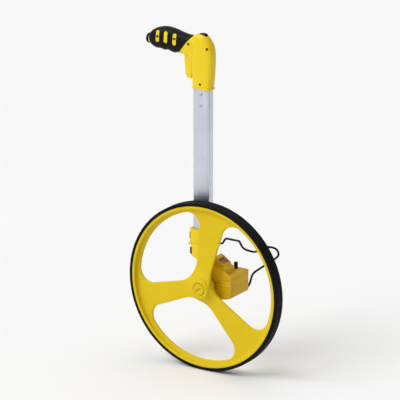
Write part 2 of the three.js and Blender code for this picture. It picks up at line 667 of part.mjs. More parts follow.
// A torsion spring wound round the trigger's pin, beside its boss.
function triggerSpring() {
  const { x, z } = TRIGGER;
  const turns = 3;
  const path = Array.from({ length: turns * 10 + 1 }, (_, i) => {
    const angle = (i / 10) * 2 * Math.PI;
    return new THREE.Vector3(x + 2.7 * Math.cos(angle), POLE.y + 7.4 + i * 0.075, z + 2.7 * Math.sin(angle));
  });
  return wireAlong(path, 0.4, 5, turns * 8);
}

// A round wire along a smooth curve through the points.
function wireAlong(points, radius, sides, steps) {
  const curve = new THREE.CatmullRomCurve3(points, false, 'centripetal');
  const ring = new THREE.Shape(arcPoints(0, 0, radius, 0, 360 - 360 / sides, sides - 1)
    .map(([u, v]) => new THREE.Vector2(u, v)));
  return solid(new THREE.ExtrudeGeometry(ring, { steps, bevelEnabled: false, extrudePath: curve }));
}

function thumbButton() {
  const { rear, front, half, top } = BUTTON;
  const middle = (rear + front) / 2;
  const width = front - rear;
  const cap = solid(alongZ(roundedRectangle(middle, POLE.y, width, 2 * half, 3), 456, top, 1.6, 1));
  const flange = solid(block(rear + 1.5, front - 1.5, POLE.y - 7.5, POLE.y + 7.5, 457, 460.6));
  return join(cap, flange);
}

// ---------------------------------------------------------------- brake at the hub

function brakeArm() {
  const { x, z, near, far, pin } = BRAKE;
  const shoe = arcPoints(0, 0, 9.5, 300, 235, 5);
  const outline = [
    ...arcPoints(x, z, 4.4, 80, 280, 8), [-12, -13.6], [3, -14.2], [5.4, -12], ...shoe,
    [-10, -7.2], [BRAKE.cableX + 2, -3],
  ];
  return cut(solid(alongY(outline, near, far)), solid(rodY(x, z, pin + 0.2, 0, 40)));
}

// ---------------------------------------------------------------- wire stand

// The bent wire's route, from one pivot pin to the other.
const STAND_ROUTE = [
  [34, 80.5, -16], [37, 80.5, -16], [40, 80.5, -16], [42.6, 81, -14.6], [44.4, 83, -9],
  [48.4, 88, 8], [57, 107, 17.5],
  [66, 126, 25.5], [74, 130.6, 33], [76.2, 131, 39.5], [73, 130.6, 46], [66, 130, 49.3], [54, 129, 48.8],
  [42, 126.5, 43], [30, 124, 36.8], [18, 122.6, 37], [7.3, 122, 39.4], [2, 122, 44], [-2.6, 122, 51],
  [-6, 122, 52.3], [-20, 122, 52.3], [-31, 122, 52.3], [-35, 122, 49.4], [-38.6, 122, 43.4],
  [-42, 122.4, 40.8], [-50, 124, 40.6], [-58, 127, 42.8], [-64, 128.6, 41], [-66.6, 129, 35.5],
  [-62, 127, 26], [-54, 107, 17], [-42.6, 88, 6], [-34.6, 83, -9], [-31.6, 81, -14.6], [-29, 80.5, -16],
  [-26, 80.5, -16], [-23, 80.5, -16],
];

const standWire = () => wireAlong(STAND_ROUTE.map((p) => new THREE.Vector3(...p)), STAND.wire, 6, 66);

function standClip(x0, x1) {
  const { y, z, wire } = STAND;
  const face = HOUSING.far + FIT;
  const outline = [
    [face, z - 5], [y + 1, z - 5], [y + 4.4, z - 2], [y + 4.4, z + 2], [y + 1, z + 5], [face, z + 5],
  ];
  const body = slab(outline, x1 - x0, 0.6, 1).applyMatrix4(new THREE.Matrix4().makeBasis(
    new THREE.Vector3(0, 1, 0), new THREE.Vector3(0, 0, 1), new THREE.Vector3(1, 0, 0),
  )).translate(x0, 0, 0);
  return cut(solid(body), solid(rodX(y, z, wire + 0.25, -80, 80)));
}

// ---------------------------------------------------------------- assembly

const object = new THREE.Group();
const assembly = new THREE.Group();
assembly.position.z = WHEEL.tyreRadius;
object.add(assembly);

function piece(name, body, finish, parent = assembly) {
  const mesh = new THREE.Mesh(geometryOf(body), new THREE.MeshStandardMaterial(FINISH[finish]));
  mesh.name = name;
  parent.add(mesh);
  return mesh;
}

// Wheel
piece('wheel_disc', wheelDisc(), 'yellowPlastic');
piece('tyre', tyre(), 'rubber');
piece('hub_cap', hubCap(), 'yellowPlastic');
piece('bearing_near', bearing(), 'steel').position.y = -17;
piece('bearing_far', bearing(), 'steel').position.y = -4;
piece('hub_gear', hubGear(), 'blackPlastic');

// Axle, housing and counter
piece('axle', axle(), 'steel');
piece('axle_nut', axleNut(), 'steel');
piece('housing_upper_shell', housingShell(true), 'amberPlastic');
piece('housing_lower_shell', housingShell(false), 'amberPlastic');
piece('counter_window', counterWindow(), 'clearPlastic');
piece('idler_pin', solid(rodY(0, 0, 2, 21.2, 31)), 'steel').position.set(TRAIN.idler.x, 0, TRAIN.idler.y);
piece('idler_gear', idlerGear(), 'whitePlastic').position.set(TRAIN.idler.x, 0, TRAIN.idler.y);
const drumShaft = piece('drum_shaft', solid(rodY(0, 0, COUNTER.shaft, 22.2, 50.4)), 'steel');
drumShaft.position.set(COUNTER.x, 0, COUNTER.z);
piece('drum_gear', drumGear(), 'whitePlastic').position.set(COUNTER.x, 0, COUNTER.z);
['tenths', 'metres', 'tens', 'hundreds', 'thousands'].forEach((digit, index) => {
  piece(`drum_${digit}`, digitDrum(index), 'whitePlastic').position.set(COUNTER.x, 0, COUNTER.z);
});
piece('reset_peg', resetPeg(), 'blackPlastic').position.set(PEG.x, PEG.y, 0);
HOUSING_SCREWS.forEach(([x, y], index) => {
  const mesh = piece(`housing_screw_${index + 1}`, screw(3, 2, 1.4, 24), 'steel');
  mesh.position.set(x, y, x > 0 ? -21.2 : -19.2);
  mesh.rotation.x = Math.PI / 2;
});

// Fold hinge
piece('hinge_lower_block', lowerBlock(), 'yellowPlastic');
piece('hinge_upper_block', upperBlock(), 'yellowPlastic');
piece('hinge_pin', solid(rodY(0, 0, FOLD.pin, 12.3, 33.6)), 'steel').position.set(FOLD.x, 0, FOLD.z);
piece('latch_keeper', latchKeeper(), 'blackPlastic');
piece('release_button', releaseButton(), 'blackPlastic');
NECK_SCREWS.forEach(({ x, y, head, tip }, index) => {
  const mesh = piece(`neck_screw_${index + 1}`, screw(2.8, 2, 1.3, tip - head), 'steel');
  mesh.position.set(x, y, head);
  mesh.rotation.x = Math.PI / 2;
});
const socketScrew = piece('socket_screw', screw(3, 1.2, 1.4, 6.5), 'steel');
socketScrew.position.set(POLE.x, 33.9, 89);
socketScrew.rotation.x = Math.PI;

// Pole and handle
piece('pole_tube', poleTube(), 'aluminium');
POLE_RIVETS.forEach((z, index) => {
  const rivet = piece(`pole_rivet_${index + 1}`, screw(2.6, 1, 1.5, 4.5), 'steel');
  rivet.position.set(POLE.x - 1, POLE.y - POLE.depth / 2 - 1.2, z);
});
piece('handle_shell_near', handleShell('near'), 'yellowPlastic');
piece('handle_shell_far', handleShell('far'), 'yellowPlastic');
piece('grip_sleeve', gripSleeve(), 'rubber');
piece('grip_end_ring', gripEndRing(), 'yellowPlastic');
piece('grip_end_cap', gripEndCap(), 'blackPlastic');
HANDLE_SCREWS.forEach(([x, z], index) => {
  const mesh = piece(`handle_screw_${index + 1}`, screw(2.8, 1.6, 1.3, 18), 'steel');
  mesh.position.set(x, POLE.y - HANDLE_HALF + 0.1, z);
});
const collarScrew = piece('collar_screw', screw(2.8, 1.2, 1.3, 7), 'steel');
collarScrew.position.set(COLLAR_SCREW.x, POLE.y - HANDLE_HALF + 0.1, COLLAR_SCREW.z);
GRIP_SCREWS.forEach((x, index) => {
  const mesh = piece(`grip_screw_${index + 1}`, screw(2.5, 1.3, 1.1, 9), 'steel');
  mesh.position.set(x, POLE.y - GRIP_HALF + 0.3, PAD_Z);
});
piece('brake_trigger', triggerLever(), 'yellowPlastic');
const triggerPin = piece('trigger_pin', solid(rodY(0, 0, TRIGGER.pin, 12.2, 33.7)), 'steel');
triggerPin.position.set(TRIGGER.x, 0, TRIGGER.z);
piece('trigger_spring', triggerSpring(), 'steel');
piece('thumb_button', thumbButton(), 'blackPlastic');

// Brake
piece('brake_arm', brakeArm(), 'steel');
piece('brake_pivot', solid(rodY(0, 0, BRAKE.pin, 13.2, 21)), 'steel').position.set(BRAKE.x, 0, BRAKE.z);
const { cableX, cableY, cable } = BRAKE;
piece('brake_cable_lower', solid(rodZ(cableX, cableY, cable, -2.4, 71.6, 8)), 'steel');
piece('brake_cable_upper', solid(rodZ(cableX, cableY, cable, 72.4, 431, 8)), 'steel');

// Stand
piece('stand_wire', standWire(), 'blackWire');
piece('stand_clip_front', standClip(32.5, 38.8), 'blackPlastic');
piece('stand_clip_rear', standClip(-27.2, -21), 'blackPlastic');

export default object;
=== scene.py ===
import json
import math

import bmesh
import bpy
from mathutils import Matrix, Vector
from mathutils.geometry import delaunay_2d_cdt


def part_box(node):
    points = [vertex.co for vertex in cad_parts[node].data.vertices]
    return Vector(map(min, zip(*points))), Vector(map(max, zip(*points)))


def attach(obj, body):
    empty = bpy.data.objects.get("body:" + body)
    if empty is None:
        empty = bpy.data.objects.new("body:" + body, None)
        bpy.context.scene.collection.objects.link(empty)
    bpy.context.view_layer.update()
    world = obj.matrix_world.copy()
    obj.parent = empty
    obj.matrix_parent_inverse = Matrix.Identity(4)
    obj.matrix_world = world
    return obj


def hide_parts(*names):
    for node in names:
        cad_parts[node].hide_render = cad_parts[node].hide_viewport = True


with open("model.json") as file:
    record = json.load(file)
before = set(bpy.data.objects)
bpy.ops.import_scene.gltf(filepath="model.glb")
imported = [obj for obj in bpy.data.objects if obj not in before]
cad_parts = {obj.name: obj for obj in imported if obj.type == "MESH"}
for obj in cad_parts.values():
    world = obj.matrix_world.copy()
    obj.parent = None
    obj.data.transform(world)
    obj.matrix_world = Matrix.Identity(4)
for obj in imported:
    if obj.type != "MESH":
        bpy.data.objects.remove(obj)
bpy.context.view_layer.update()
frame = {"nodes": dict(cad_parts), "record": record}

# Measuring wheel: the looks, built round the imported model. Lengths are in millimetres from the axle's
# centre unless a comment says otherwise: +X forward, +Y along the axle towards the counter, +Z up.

MM = 0.001
TYRE_LOW, TYRE_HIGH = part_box("tyre")
AXLE_Z = (TYRE_LOW.z + TYRE_HIGH.z) / 2
TYRE_RADIUS = (TYRE_HIGH.z - TYRE_LOW.z) / 2 / MM


def cad_spans(node):
    """A CAD node's (low, high) along X, Y and Z, to a hundredth of a millimetre."""
    low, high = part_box(node)
    pairs = ((low.x, high.x), (low.y, high.y), (low.z - AXLE_Z, high.z - AXLE_Z))
    return [tuple(round(value / MM, 2) for value in pair) for pair in pairs]


def middle(span):
    return round(sum(span) / 2, 2)


def extent(span):
    return round(span[1] - span[0], 2)


# ---------------------------------------------------------------- camera, light and floor

# The view is narrow, so nearly parallel. VIEW_WIDTH, LOOK_AT and FLOOR_HALF are in metres.
AZIMUTH = math.radians(32.61)
ELEVATION = math.radians(17.40)
VIEW_WIDTH = 0.7224
LENS = 300.0
SENSOR = 36.0
LOOK_AT = Vector((-0.00436, -0.01105, 0.32604))
SKY_BRIGHT, SKY_DIM = 0.72, 0.2
SUNS = (  # name, where it comes from, power, spread in degrees
    ("key", (-1.2, -1.9, 2.3), 1.5, 34),
    ("top", (0.2, 0.5, 3.0), 0.55, 60),
)
FLOOR_HALF = 90.0


def make_camera():
    """A long lens that looks down from the wheel's near side, turned towards its front."""
    back = Vector((
        math.sin(AZIMUTH) * math.cos(ELEVATION),
        -math.cos(AZIMUTH) * math.cos(ELEVATION),
        math.sin(ELEVATION),
    ))
    data = bpy.data.cameras.new("camera")
    data.lens = LENS
    data.sensor_width = SENSOR
    data.clip_end = 100
    camera = bpy.data.objects.new("camera", data)
    bpy.context.scene.collection.objects.link(camera)
    camera.location = LOOK_AT + back * (LENS / SENSOR * VIEW_WIDTH)
    camera.rotation_euler = (-back).to_track_quat("-Z", "Y").to_euler()
    bpy.context.scene.camera = camera


def soft_sun(name, source, power, spread_deg):
    """Even, soft-edged light that comes from the direction of `source`."""
    data = bpy.data.lights.new(name, "SUN")
    data.energy = power
    data.angle = math.radians(spread_deg)
    light = bpy.data.objects.new(name, data)
    light.rotation_euler = (-Vector(source)).to_track_quat("-Z", "Y").to_euler()
    bpy.context.scene.collection.objects.link(light)


def make_studio():
    """A white room, dimmer on the side the wheel rolls towards."""
    world = bpy.data.worlds.new("studio")
    world.use_nodes = True
    tree = world.node_tree
    direction = node(tree, "ShaderNodeTexCoord").outputs["Generated"]
    split = node(tree, "ShaderNodeSeparateXYZ")
    tree.links.new(direction, split.inputs["Vector"])
    strength = spread(tree, split.outputs["X"], SKY_BRIGHT, SKY_DIM, -0.2, 0.9)
    tree.links.new(strength, tree.nodes["Background"].inputs["Strength"])
    tree.nodes["Background"].inputs["Color"].default_value = (1, 1, 1, 1)
    bpy.context.scene.world = world
    bpy.context.scene.view_settings.view_transform = "Standard"
    for sun in SUNS:
        soft_sun(*sun)
    mesh = bpy.data.meshes.new("floor")
    corners = [(u * FLOOR_HALF, v * FLOOR_HALF, 0) for u, v in ((-1, -1), (1, -1), (1, 1), (-1, 1))]
    mesh.from_pydata(corners, [], [(0, 1, 2, 3)])
    floor = bpy.data.objects.new("floor", mesh)
    bpy.context.scene.collection.objects.link(floor)
    floor.data.materials.append(plain_floor())


# ---------------------------------------------------------------- materials


def new_material(name):
    material = bpy.data.materials.new(name)
    material.use_nodes = True
    tree = material.node_tree
    return material, tree, tree.nodes["Principled BSDF"]


def node(tree, kind, **values):
    """A new node, with its sockets or settings given by name."""
    made = tree.nodes.new(kind)
    for key, value in values.items():
        if key in made.inputs:
            made.inputs[key].default_value = value
        else:
            setattr(made, key, value)
    return made


def object_place(tree, scale=(1, 1, 1)):
    """The piece's own coordinates, so that a pattern moves with it."""
    texture = node(tree, "ShaderNodeTexCoord")
    mapping = node(tree, "ShaderNodeMapping")
    mapping.inputs["Scale"].default_value = scale
    tree.links.new(texture.outputs["Object"], mapping.inputs["Vector"])
    return mapping.outputs["Vector"]


def noise(tree, place, scale, detail=3.0, roughness=0.55):
    made = node(tree, "ShaderNodeTexNoise", Scale=scale, Detail=detail, Roughness=roughness)
    tree.links.new(place, made.inputs["Vector"])
    return made.outputs["Fac"]


def spread(tree, value, low, high, start=0.3, stop=0.7):
    """`value` from start to stop, stretched to run from low to high."""
    made = node(tree, "ShaderNodeMapRange")
    made.inputs["From Min"].default_value = start
    made.inputs["From Max"].default_value = stop
    made.inputs["To Min"].default_value = low
    made.inputs["To Max"].default_value = high
    tree.links.new(value, made.inputs["Value"])
    return made.outputs["Result"]


def two_colours(tree, factor, first, second):
    made = node(tree, "ShaderNodeMix", data_type="RGBA")
    made.inputs["A"].default_value = (*first, 1)
    made.inputs["B"].default_value = (*second, 1)
    tree.links.new(factor, made.inputs["Factor"])
    return made.outputs["Result"]


def edge_wear(tree, place, colour, worn, amount):
    """Rubbed edges: near corners the colour turns towards `worn`, in patches."""
    true_normal = node(tree, "ShaderNodeNewGeometry").outputs["Normal"]
    rounded_normal = node(tree, "ShaderNodeBevel", samples=4, Radius=0.7 * MM).outputs["Normal"]
    match = node(tree, "ShaderNodeVectorMath", operation="DOT_PRODUCT")
    tree.links.new(true_normal, match.inputs[0])
    tree.links.new(rounded_normal, match.inputs[1])
    edge = spread(tree, match.outputs["Value"], amount, 0, 0.88, 0.985)
    patches = spread(tree, noise(tree, place, 210.0, 3.0), 0.15, 1, 0.4, 0.62)
    both = node(tree, "ShaderNodeMath", operation="MULTIPLY")
    tree.links.new(edge, both.inputs[0])
    tree.links.new(patches, both.inputs[1])
    made = node(tree, "ShaderNodeMix", data_type="RGBA")
    made.inputs["B"].default_value = (*worn, 1)
    tree.links.new(both.outputs[0], made.inputs["Factor"])
    tree.links.new(colour, made.inputs["A"])
    return made.outputs["Result"]


def bump(tree, shader, height, strength, distance):
    made = node(tree, "ShaderNodeBump", Strength=strength, Distance=distance)
    tree.links.new(height, made.inputs["Height"])
    tree.links.new(made.outputs["Normal"], shader.inputs["Normal"])


def moulded(
    name, light, dark, worn, rough=(0.32, 0.46), grain=1600.0, depth=0.00006, coat=0.0, specular=0.5
):
    """Moulded plastic or rubber: slow colour drift, uneven gloss, a fine skin grain and rubbed edges."""
    material, tree, shader = new_material(name)
    place = object_place(tree)
    slow = noise(tree, place, 14.0, 4.0)
    smear = noise(tree, place, 90.0, 5.0, 0.65)
    fine = noise(tree, place, grain, 2.0)
    base = two_colours(tree, spread(tree, slow, 0, 1), light, dark)
    tree.links.new(edge_wear(tree, place, base, worn, 0.5), shader.inputs["Base Color"])
    tree.links.new(spread(tree, smear, *rough), shader.inputs["Roughness"])
    bump(tree, shader, fine, 0.35, depth)
    shader.inputs["Coat Weight"].default_value = coat
    shader.inputs["Coat Roughness"].default_value = 0.12
    shader.inputs["Specular IOR Level"].default_value = specular
    return material


def metal(name, light, dark, rough, streak, depth=0.00002):
    """Drawn or plated metal, with fine lines along one axis."""
    material, tree, shader = new_material(name)
    lines = noise(tree, object_place(tree, streak), 420.0, 3.0, 0.6)
    cloud = noise(tree, object_place(tree), 24.0, 3.0)
    base = two_colours(tree, spread(tree, cloud, 0, 1), light, dark)
    bright = tuple(min(1.0, value * 1.2) for value in light)
    tree.links.new(edge_wear(tree, object_place(tree), base, bright, 0.6), shader.inputs["Base Color"])
    tree.links.new(spread(tree, lines, *rough), shader.inputs["Roughness"])
    bump(tree, shader, lines, 0.25, depth)
    shader.inputs["Metallic"].default_value = 1.0
    return material


def clear_plastic():
    """Amber-tinted window plastic, faintly smeared."""
    material, tree, shader = new_material("clear_plastic")
    place = object_place(tree)
    smear = noise(tree, place, 120.0, 4.0)
    drift = spread(tree, noise(tree, place, 30.0), 0, 1)
    base = two_colours(tree, drift, (0.93, 0.56, 0.08), (0.88, 0.50, 0.06))
    tree.links.new(edge_wear(tree, place, base, (0.97, 0.75, 0.35), 0.6), shader.inputs["Base Color"])
    tree.links.new(spread(tree, smear, 0.03, 0.1), shader.inputs["Roughness"])
    bump(tree, shader, smear, 0.15, 0.00003)
    shader.inputs["Transmission Weight"].default_value = 1.0
    shader.inputs["IOR"].default_value = 1.49
    return material


def plain_floor():
    material, tree, shader = new_material("studio_floor")
    soft = noise(tree, object_place(tree), 3.0, 2.0)
    base = two_colours(tree, soft, (0.86, 0.86, 0.86), (0.88, 0.88, 0.88))
    tree.links.new(base, shader.inputs["Base Color"])
    shader.inputs["Roughness"].default_value = 0.9
    return material


# The colours of rubbed edges.
PALE_YELLOW = (0.90, 0.76, 0.16)
PALE_AMBER = (0.85, 0.62, 0.14)
GREY = (0.03, 0.03, 0.032)

MATERIALS = {
    "yellow_plastic": moulded(
        "yellow_plastic", (0.86, 0.635, 0.004), (0.81, 0.585, 0.004), PALE_YELLOW, (0.36, 0.5),
        coat=0.04, specular=0.3),
    "wheel_yellow": moulded(
        "wheel_yellow", (0.73, 0.53, 0.003), (0.68, 0.485, 0.003), PALE_YELLOW, (0.4, 0.54),
        specular=0.2),
    "amber_plastic": moulded(
        "amber_plastic", (0.74, 0.465, 0.003), (0.68, 0.42, 0.003), PALE_AMBER, (0.4, 0.54),
        specular=0.22),
    "tyre_rubber": moulded(
        "tyre_rubber", (0.003, 0.0035, 0.005), (0.006, 0.007, 0.009), GREY, (0.5, 0.68),
        grain=900, depth=0.0001, specular=0.08),
    "grip_rubber": moulded(
        "grip_rubber", (0.003, 0.003, 0.0035), (0.006, 0.006, 0.007), GREY, (0.38, 0.55),
        grain=1100, depth=0.00012, specular=0.14),
    "black_plastic": moulded(
        "black_plastic", (0.006, 0.006, 0.007), (0.010, 0.010, 0.011), GREY, (0.35, 0.5),
        specular=0.14),
    "white_plastic": moulded(
        "white_plastic", (0.80, 0.80, 0.78), (0.74, 0.74, 0.72), (0.86, 0.86, 0.85), (0.4, 0.5)),
    "clear_plastic": clear_plastic(),
    "aluminium": metal("aluminium", (0.66, 0.69, 0.75), (0.61, 0.64, 0.70), (0.34, 0.5), (9, 9, 0.12)),
    "black_wire": moulded(
        "black_wire", (0.003, 0.003, 0.0035), (0.006, 0.006, 0.007), GREY, (0.22, 0.36),
        grain=700, depth=0.00005, coat=0.05, specular=0.14),
    "steel": metal("steel", (0.52, 0.52, 0.53), (0.42, 0.42, 0.43), (0.26, 0.42), (4, 4, 4)),
    "dark_steel": metal("dark_steel", (0.13, 0.07, 0.025), (0.09, 0.05, 0.018), (0.4, 0.55), (4, 4, 4)),
}

# ---------------------------------------------------------------- mesh building


def at(x, y, z):
    """A point given in millimetres from the axle's centre, in the frame's metres."""
    return Vector((x, y, z)) * MM + Vector((0, 0, AXLE_Z))


def to_object(name, bm):
    """Makes a bmesh an object of the scene, its doubles merged and its faces outward."""
    bmesh.ops.remove_doubles(bm, verts=bm.verts, dist=1e-7)
    bmesh.ops.recalc_face_normals(bm, faces=bm.faces)
    mesh = bpy.data.meshes.new(name)
    bm.to_mesh(mesh)
    bm.free()
    made = bpy.data.objects.new(name, mesh)
    bpy.context.scene.collection.objects.link(made)
    return made


def settle(obj):
    """Applies an object's modifiers to its mesh."""
    bpy.context.view_layer.update()
    graph = bpy.context.evaluated_depsgraph_get()
    mesh = bpy.data.meshes.new_from_object(obj.evaluated_get(graph))
    obj.modifiers.clear()
    obj.data = mesh
    return obj


def soften(obj, width, segments=3, angle=35):
    """Rounds the edges that are sharper than `angle` degrees."""
    made = obj.modifiers.new("soften", "BEVEL")
    made.width = width * MM
    made.segments = segments
    made.limit_method = "ANGLE"
    made.angle_limit = math.radians(angle)
    return settle(obj)


def carve(obj, operation, *tools):
    """Cuts, joins or keeps the overlap with each tool, and drops the tools."""
    for tool in tools:
        made = obj.modifiers.new("carve", "BOOLEAN")
        made.operation = operation
        made.solver = "EXACT"
        made.object = tool
        settle(obj)
        bpy.data.objects.remove(tool)
    return obj


def skin(rings):
    """A closed surface through rings of points, with a face over each end."""
    bm = bmesh.new()
    rows = [[bm.verts.new(p) for p in ring] for ring in rings]
    join_rows(bm, rows)
    bm.faces.new(rows[0])
    bm.faces.new(list(reversed(rows[-1])))
    return bm


def join_rows(bm, rows):
    """Four-sided faces between each closed row of vertices and the next."""
    count = len(rows[0])
    for first, second in zip(rows, rows[1:]):
        for i in range(count):
            j = (i + 1) % count
            bm.faces.new((first[i], first[j], second[j], second[i]))


# Where an outline's u and v and a prism's length w lie in space.
PLANES = {
    "XZ": lambda u, v, w: at(u, w, v),
    "XY": lambda u, v, w: at(u, v, w),
    "YZ": lambda u, v, w: at(w, u, v),
}


def prism(outline, low, high, plane="XZ"):
    """An outline drawn in a plane, stretched across it from low to high."""
    place = PLANES[plane]
    return to_object("prism", skin([[place(u, v, w) for u, v in outline] for w in (low, high)]))


def block(x0, x1, y0, y1, z0, z1):
    return prism([(x0, z0), (x1, z0), (x1, z1), (x0, z1)], y0, y1)


def circle(cu, cv, radius, steps=48):
    return arc(cu, cv, radius, 0, 360 - 360 / steps, steps - 1)


def arc(cu, cv, radius, from_deg, to_deg, steps):
    turns = [math.radians(from_deg + (to_deg - from_deg) * i / steps) for i in range(steps + 1)]
    return [(cu + radius * math.cos(t), cv + radius * math.sin(t)) for t in turns]


def rounded(cu, cv, width, height, corner, steps=8):
    """The outline of a rectangle with round corners."""
    du, dv = width / 2 - corner, height / 2 - corner
    corners = ((du, dv, 0), (-du, dv, 90), (-du, -dv, 180), (du, -dv, 270))
    return [p for u, v, turn in corners for p in arc(cu + u, cv + v, corner, turn, turn + 90, steps)]


def turned_bm(profile, centre, axis, steps):
    """A (radius, along) profile turned about a line through `centre` along X, Y or Z."""
    units = [Vector((1, 0, 0)), Vector((0, 1, 0)), Vector((0, 0, 1))]
    first = "XYZ".index(axis)
    along, side, up = (units[(first + step) % 3] for step in range(3))
    bm = bmesh.new()
    rows = []
    for radius, distance in profile:
        row = []
        for i in range(steps):
            turn = 2 * math.pi * i / steps
            spoke = side * math.cos(turn) + up * math.sin(turn)
            row.append(bm.verts.new(at(*(Vector(centre) + along * distance + spoke * radius))))
        rows.append(row)
    join_rows(bm, rows)
    return bm


def turned(profile, centre=(0, 0, 0), axis="Y", steps=64):
    bm = turned_bm(profile, centre, axis, steps)
    bmesh.ops.remove_doubles(bm, verts=bm.verts, dist=1e-7)
    bmesh.ops.dissolve_degenerate(bm, edges=bm.edges, dist=1e-8)
    return to_object("turned", bm)


def rod(axis, centre, radius, low, high, steps=40):
    return turned([(0, low), (radius, low), (radius, high), (0, high)], centre, axis, steps)


def blend_curve(points, steps):
    """A smooth curve through points, as (u, v) pairs."""
    ends = [points[0], *points, points[-1]]
    result = []
    for i in range(1, len(ends) - 2):
        a, b, c, d = (Vector(p) for p in ends[i - 1:i + 3])
        for k in range(steps):
            t = k / steps
            result.append(tuple(0.5 * (
                2 * b + (c - a) * t
                + (2 * a - 5 * b + 4 * c - d) * t * t
                + (3 * b - a - 3 * c + d) * t ** 3
            )))
    result.append(tuple(points[-1]))
    return result


def read(table, key):
    """The values at `key`, read between the rows of a (key, value, ...) table sorted by key."""
    if key <= table[0][0]:
        return table[0][1:]
    for row, after in zip(table, table[1:]):
        if key <= after[0]:
            share = (key - row[0]) / (after[0] - row[0])
            return tuple(a + (b - a) * share for a, b in zip(row[1:], after[1:]))
    return table[-1][1:]


def superellipse(half_u, half_v, power, steps=72):
    """An oval outline that nears a rectangle as the power grows."""
    points = []
    for i in range(steps):
        turn = 2 * math.pi * i / steps
        c, s = math.cos(turn), math.sin(turn)
        points.append((
            half_u * math.copysign(abs(c) ** (2 / power), c),
            half_v * math.copysign(abs(s) ** (2 / power), s),
        ))
    return points


SMOOTH_ANGLE = 38


def shade(obj, angle=SMOOTH_ANGLE):
    """Smooth shading, with edges sharper than `angle` degrees kept sharp."""
    obj.data.shade_smooth()
    obj.data.set_sharp_from_angle(angle=math.radians(angle))


def place_piece(obj, name, slot, body, *nodes, material=None, smooth_angle=SMOOTH_ANGLE):
    """Names a finished piece, paints it, and hangs it on its body in place of its CAD nodes."""
    obj.name = name
    obj.data.name = name
    obj.data.materials.clear()
    obj.data.materials.append(MATERIALS[material or slot])
    for polygon in obj.data.polygons:
        polygon.material_index = 0
    shade(obj, smooth_angle)
    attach(obj, body)
    if nodes:
        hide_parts(*nodes)
    return obj


def refine(node_name, body, slot, width=0.5, angle=40, segments=3):
    """A CAD piece whose shape is right, copied with its edges rounded."""
    source = frame["nodes"][node_name]
    bm = bmesh.new()
    bm.from_mesh(source.data)
    bmesh.ops.remove_doubles(bm, verts=bm.verts, dist=1e-6)
    bmesh.ops.dissolve_limit(bm, angle_limit=math.radians(1), verts=bm.verts, edges=bm.edges)
    made = soften(to_object(node_name, bm), width, segments, angle)
    return place_piece(made, node_name + "_fine", slot, body, node_name)


# ---------------------------------------------------------------- wheel

WHEEL_STEPS = 192
RIM_INNER = 148.0
RIM_OUTER = 153.0
HALF_WIDTH = 11.0
HOLE = {"outer": 141.2, "hub_arc": 49.5, "corner": 24.4}
# Each hole: the direction of its middle in degrees, how far from the axle it starts, and the lean of
# its sides in degrees.
HOLES = ((19.6, 21.1, 54.6), (140.65, 31.9, 53.8), (255.2, 25.5, 51.9))
LIP = 1.8
LIP_STEPS = 5
# Radii at which the web's faces get points of their own between hub and rim, closer where they bend.
WEB_RADII = (20.2, 21.6, 23.2, 25.2, 28, 33, 40, 50, 62, 75, 90, 104, 118, 130, 138, 142.5, 144.8)
WEB_INNER, WEB_OUTER = 18.9, 147.0

# How far along the axle the web's near and far faces lie, at each radius.
WEB_NEAR = [
    (WEB_INNER, -20.7), (19.6, -19.2), (20.6, -17.3), (22, -15.5), (24, -13.9), (27, -12.2), (31, -10.9),
    (37, -10.0), (48, -9.1), (140, -2.8), (144, -2.9), (WEB_OUTER, -3.9),
]
WEB_FAR = [(WEB_INNER, -5.3), (32, -5.1), (140, 2.2), (144, 2.4), (WEB_OUTER, 3.9)]


def spoke_hole(axis_deg, inner, edge_deg):
    """The outline of one hole between two spokes: outer arc, two corners, two straight sides, hub arc."""
    edge = Vector((math.cos(math.radians(edge_deg)), math.sin(math.radians(edge_deg))))
    inward = Vector((edge.y, -edge.x))
    arc_centre = inner + HOLE["hub_arc"]
    tangent = 90 + edge_deg
    start = Vector((arc_centre, 0)) - inward * HOLE["hub_arc"]
    base = start + inward * HOLE["corner"]
    along = base.dot(edge)
    reach = HOLE["outer"] - HOLE["corner"]
    corner = base + edge * (-along + math.sqrt(along * along - base.length_squared + reach * reach))
    corner_deg = math.degrees(math.atan2(corner.y, corner.x))
    straight = 10
    tip = corner - inward * HOLE["corner"]
    upper_line = [tuple(tip.lerp(start, i / straight)) for i in range(1, straight)]
    lower_line = [(u, -v) for u, v in reversed(upper_line)]
    outline = [
        *arc(0, 0, HOLE["outer"], -corner_deg, corner_deg, 44),
        *arc(corner.x, corner.y, HOLE["corner"], corner_deg, tangent, 22)[1:],
        *upper_line,
        *arc(arc_centre, 0, HOLE["hub_arc"], tangent, 360 - tangent, 30),
        *lower_line,
        *arc(corner.x, -corner.y, HOLE["corner"], 360 - tangent, 360 - corner_deg, 22)[:-1],
    ]
    turn = Matrix.Rotation(math.radians(axis_deg), 2)
    return [turn @ Vector(p) for p in outline]


def outward(loop, i):
    """The direction from a hole's outline into the web."""
    step = loop[(i + 1) % len(loop)] - loop[i - 1]
    return Vector((step.y, -step.x)).normalized()


def inside(point, loop):
    """Whether a point lies within a loop, by counting the sides that a line from it crosses."""
    crossings = 0
    for a, b in zip(loop, loop[1:] + loop[:1]):
        if (a.y > point.y) != (b.y > point.y):
            if point.x < a.x + (point.y - a.y) / (b.y - a.y) * (b.x - a.x):
                crossings += 1
    return crossings % 2 == 1


